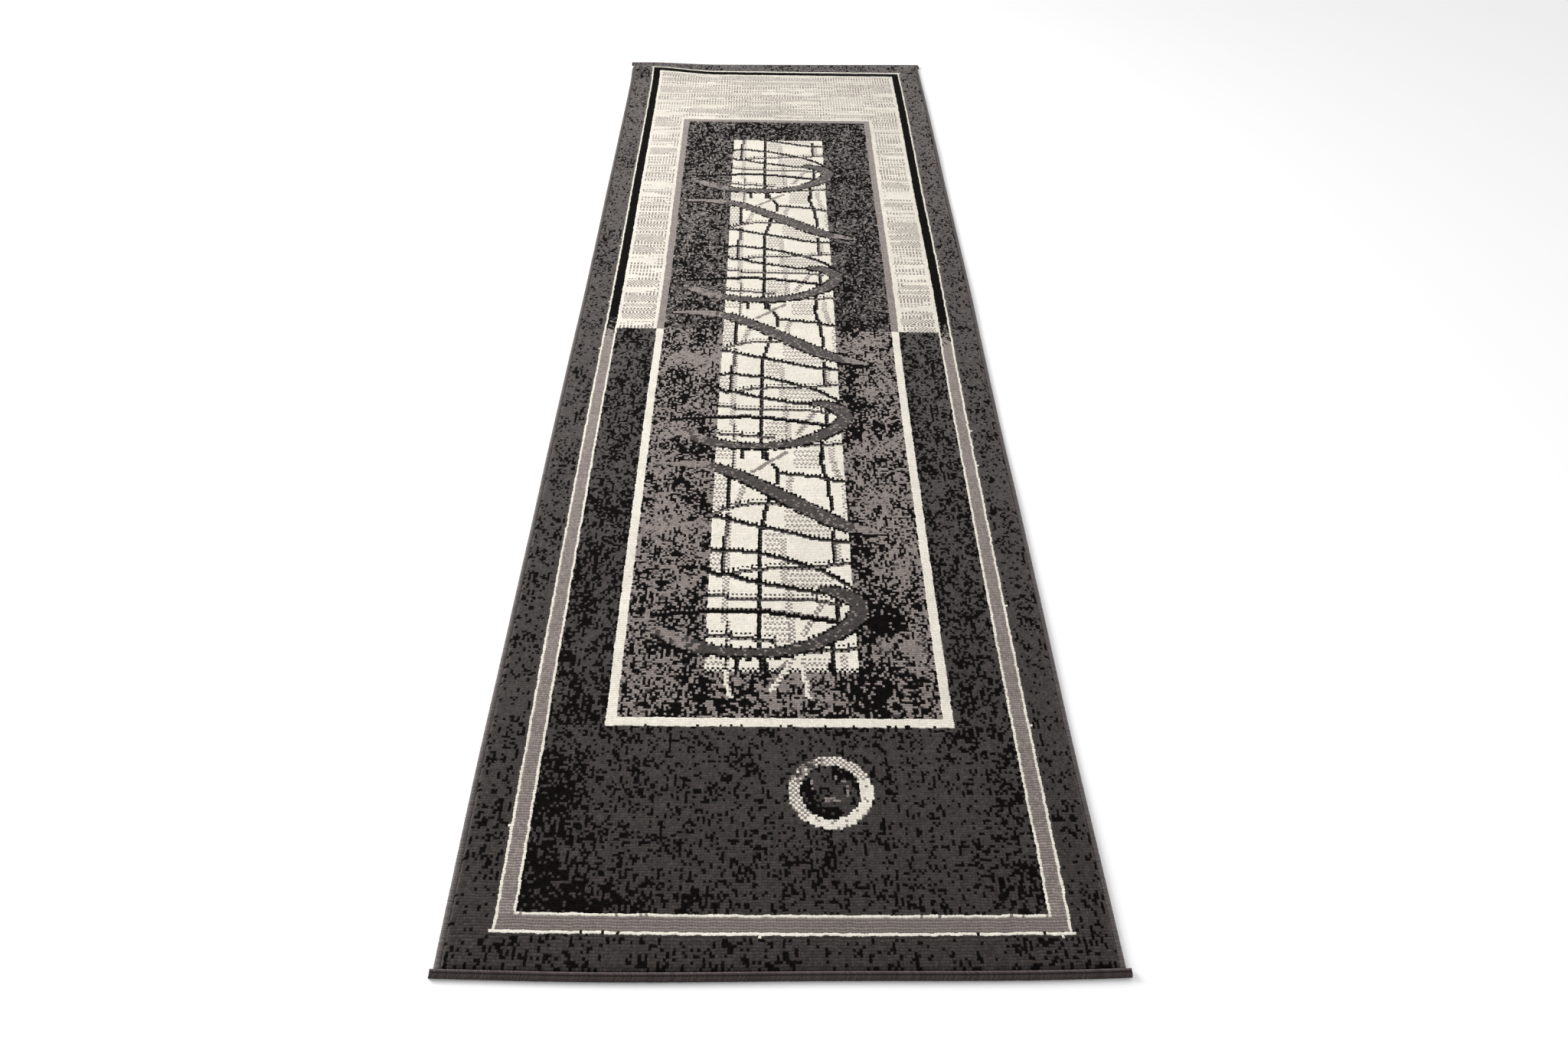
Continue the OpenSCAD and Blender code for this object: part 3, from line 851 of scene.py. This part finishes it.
def overlock_piece(node, section, stitch, start, run, inward, material, waver):
    """A binding bead from a start corner along run, each stitch a raised strand across its section."""
    low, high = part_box(node)
    length = run.length
    along = run.normalized()
    width = (high - low).dot(Vector([abs(v) for v in inward]))
    height = high.z - low.z
    count = round(length / stitch)
    rings = count * STRAND_SAMPLES + 1
    phase = np.arange(rings) / STRAND_SAMPLES
    stitch_number = np.minimum(phase.astype(int), count - 1)
    nudge = rng.uniform(-waver, waver, count)[stitch_number]
    lift_by_stitch = rng.uniform(0.75, 1.2, count)[stitch_number]
    lift = np.sqrt(np.clip(1 - (2 * (phase % 1) - 1) ** 2, 0, 1))
    sides = len(section)
    centre = np.array([0.5 * width, 0.5 * height])
    points = np.zeros((rings, sides, 3))
    depth = np.zeros((rings, sides))
    for k, (share_in, share_up, slant, light) in enumerate(section):
        flat = np.array([share_in * width, share_up * height])
        outward = (flat - centre) / np.linalg.norm(flat - centre)
        raised = (lift * lift_by_stitch - 0.75) * STRAND_LIFT * (0.35 if share_up < 0.1 else 1.0)
        distance = np.clip((phase + slant + nudge * (phase % 1 > 0)) * length / count, 0, length)
        across = flat[0] + outward[0] * raised
        up = np.maximum(flat[1] + outward[1] * raised, 0.0)
        place = (np.array(start)[None, :] + distance[:, None] * np.array(along)
                 + across[:, None] * np.array(inward))
        place[:, 2] = up
        points[:, k] = place
        # Dark between stitches and light over their crowns: painted shade and painted highlight
        depth[:, k] = lift * light
    ring_number = np.arange(rings - 1)[:, None] * sides
    step = np.arange(sides)[None, :]
    after = (step + 1) % sides
    quads = np.stack((ring_number + step, ring_number + after,
                      ring_number + sides + after, ring_number + sides + step), -1).reshape(-1, 4)
    facing = along.cross(Vector(inward)).z
    quads = quads if facing > 0 else quads[:, ::-1]
    first, last = np.arange(sides), (rings - 1) * sides + np.arange(sides)
    caps = (first[::-1], last) if facing > 0 else (first, last[::-1])
    mesh = new_mesh(node, settle(points.reshape(-1, 3)), quads, caps)
    shade = rng.random(count)[np.minimum(np.repeat(np.arange(rings - 1), sides) // STRAND_SAMPLES, count - 1)]
    set_attribute(mesh, "tuft", "FACE", np.append(shade, (0.5, 0.5)))
    set_attribute(mesh, "depth", "POINT", depth.ravel())
    return add_piece(mesh, node, [material])


def bindings(side_yarn, end_yarn):
    """Serging down both long sides and a hem over each end, with its tails past the serging."""
    serging_run = FIELD_Y1 - FIELD_Y0
    hem_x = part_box("hem_front")[1].x
    return [
        overlock_piece("serging_left", SERGING_SECTION, STITCH, (-RUG_HALF_W, FIELD_Y1, 0),
                       Vector((0, -serging_run, 0)), (1, 0, 0), side_yarn, SERGING_WAVER),
        overlock_piece("serging_right", SERGING_SECTION, STITCH, (RUG_HALF_W, FIELD_Y0, 0),
                       Vector((0, serging_run, 0)), (-1, 0, 0), side_yarn, SERGING_WAVER),
        overlock_piece("hem_front", HEM_SECTION, STITCH, (-hem_x, -RUG_HALF_L, 0),
                       Vector((2 * hem_x, 0, 0)), (0, 1, 0), end_yarn, HEM_WAVER),
        overlock_piece("hem_back", HEM_SECTION, STITCH, (hem_x, RUG_HALF_L, 0),
                       Vector((-2 * hem_x, 0, 0)), (0, -1, 0), end_yarn, HEM_WAVER),
    ]


SLAB_COLS = 44
WEAVE_ROWS = 240


def slab_piece(node, across, along, relief, material):
    """A thin woven layer: a closed slab whose underside rises and falls with each row of the weave."""
    low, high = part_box(node)
    x, y = np.meshgrid(np.linspace(low.x, high.x, across + 1), np.linspace(low.y, high.y, along + 1))
    ridge = (np.arange(along + 1) % 2)[:, None] * np.ones(across + 1)[None, :]
    under = low.z + relief * (0.5 * ridge + 0.5 * rng.random(ridge.shape))
    under[[0, -1]] = low.z
    top = np.full(x.shape, high.z)
    points = np.vstack([np.column_stack((x.ravel(), y.ravel(), z.ravel())) for z in (under, top)])
    width = across + 1
    cell = (np.arange(along)[:, None] * width + np.arange(across)[None, :]).ravel()
    lower = np.column_stack((cell, cell + width, cell + width + 1, cell + 1))
    upper = lower[:, ::-1] + x.size
    rim = np.concatenate((np.arange(width), np.arange(1, along + 1) * width + across,
                          along * width + np.arange(across)[::-1], np.arange(1, along)[::-1] * width))
    ahead = np.roll(rim, -1)
    wall = np.column_stack((rim, ahead, ahead + x.size, rim + x.size))
    mesh = new_mesh(node, settle(points), np.vstack((lower, upper, wall)))
    # The rows whose underside rises are darker, painted shade in the hollows between rows; with no relief it
    # is every other row darker
    set_attribute(mesh, "depth", "POINT", np.concatenate((1 - ridge.ravel(), np.ones(x.size))))
    return add_piece(mesh, node, [material])


# ---------------------------------------------------------------- the object


def build_rug():
    weave_chart()
    yarns = {
        BLACK: yarn_material("yarn_black", (0.0046, 0.0037, 0.0034), 0.02, 1.0, 0.7, 0.02),
        CHARCOAL: yarn_material("yarn_charcoal", (0.0335, 0.0272, 0.0250), 0.44, 1.0, 0.85, 0.05),
        TAUPE: yarn_material("yarn_taupe", (0.255, 0.217, 0.200), 0.50, 0.55, 0.85),
        CREAM: yarn_material("yarn_cream", (0.725, 0.684, 0.600), 0.05, 0.13, 0.28),
    }
    grid, depth = pile_grid()
    shade = tuft_shades()
    pile = [pile_piece(node, grid, depth, yarns, shade) for node in PAINT_ORDER]
    beads = bindings(binding_material("serging_yarn", (0.105, 0.090, 0.086), 0.25, 0.35),
                     binding_material("hem_yarn", (0.056, 0.045, 0.043), 0.06, 0.08))
    coating = slab_piece("back_coating", SLAB_COLS, ROWS, 0.2 * MM,
                         ground_material("backing_size", (0.50, 0.42, 0.29), TUFT_X, TUFT_Y))
    ground = slab_piece("ground_weave", SLAB_COLS, WEAVE_ROWS, 0.0,
                        ground_material("ground_jute", (0.40, 0.32, 0.20), TUFT_X, TUFT_Y))


# ---------------------------------------------------------------- camera, floor and lights


CAMERA_PLACE = (-0.0058, -1.9795, 1.1931)
CAMERA_LENS = 30.179
CAMERA_YAW, CAMERA_PITCH, CAMERA_ROLL = -0.569, 39.346, 0.366    # degrees; pitch is downwards


def add_camera():
    """The viewing position in front of the rug, looking along it and down."""
    yaw, pitch, roll = (math.radians(angle) for angle in (CAMERA_YAW, CAMERA_PITCH, CAMERA_ROLL))
    forward = Vector((-math.sin(yaw) * math.cos(pitch), math.cos(yaw) * math.cos(pitch), -math.sin(pitch)))
    level = Vector((math.cos(yaw), math.sin(yaw), 0))
    upright = level.cross(forward)
    right = level * math.cos(roll) + upright * math.sin(roll)
    up = upright * math.cos(roll) - level * math.sin(roll)
    data = bpy.data.cameras.new("camera")
    data.lens = CAMERA_LENS
    data.sensor_width = 36.0
    data.clip_start = 0.05
    camera = bpy.data.objects.new("camera", data)
    camera.matrix_world = Matrix.Translation(CAMERA_PLACE) @ Matrix(
        (right, up, -forward)).transposed().to_4x4()
    bpy.context.scene.collection.objects.link(camera)
    bpy.context.scene.camera = camera


FLOOR_REACH = 14.0


def add_floor():
    mesh = bpy.data.meshes.new("floor")
    reach = FLOOR_REACH
    mesh.from_pydata([(-reach, -reach, 0), (reach, -reach, 0), (reach, reach, 0), (-reach, reach, 0)],
                     [], [(0, 1, 2, 3)])
    n = Nodes("floor_paper")
    n.tone((0.96, 0.96, 0.96), n.spread(n.noise(2.0), 0.995, 1.0))
    n.shader.inputs["Roughness"].default_value = 0.9
    n.shader.inputs["Specular IOR Level"].default_value = 0.1
    mesh.materials.append(n.material)
    floor = bpy.data.objects.new("floor", mesh)
    floor.location.z = -0.2 * MM
    bpy.context.scene.collection.objects.link(floor)


def add_softbox(name, place, aim, size, power):
    data = bpy.data.lights.new(name, "AREA")
    data.shape = "RECTANGLE"
    data.size, data.size_y = size
    data.energy = power
    lamp = bpy.data.objects.new(name, data)
    lamp.location = place
    lamp.rotation_euler = (Vector(aim) - Vector(place)).to_track_quat("-Z", "Y").to_euler()
    bpy.context.scene.collection.objects.link(lamp)


def add_light():
    world = bpy.data.worlds.new("studio")
    world.use_nodes = True
    world.node_tree.nodes["Background"].inputs["Color"].default_value = (1.0, 1.0, 1.0, 1)
    world.node_tree.nodes["Background"].inputs["Strength"].default_value = 0.77
    bpy.context.scene.world = world
    add_softbox("left_softbox", (-2.3, 0.3, 1.5), (-0.1, 0.0, 0), (2.0, 2.0), 88)
    add_softbox("front_softbox", (1.6, -2.2, 2.8), (0, -0.3, 0), (2.2, 2.2), 8)
    bpy.context.scene.view_settings.view_transform = "Standard"


add_camera()
add_floor()
add_light()
build_rug()
bpy.context.view_layer.update()
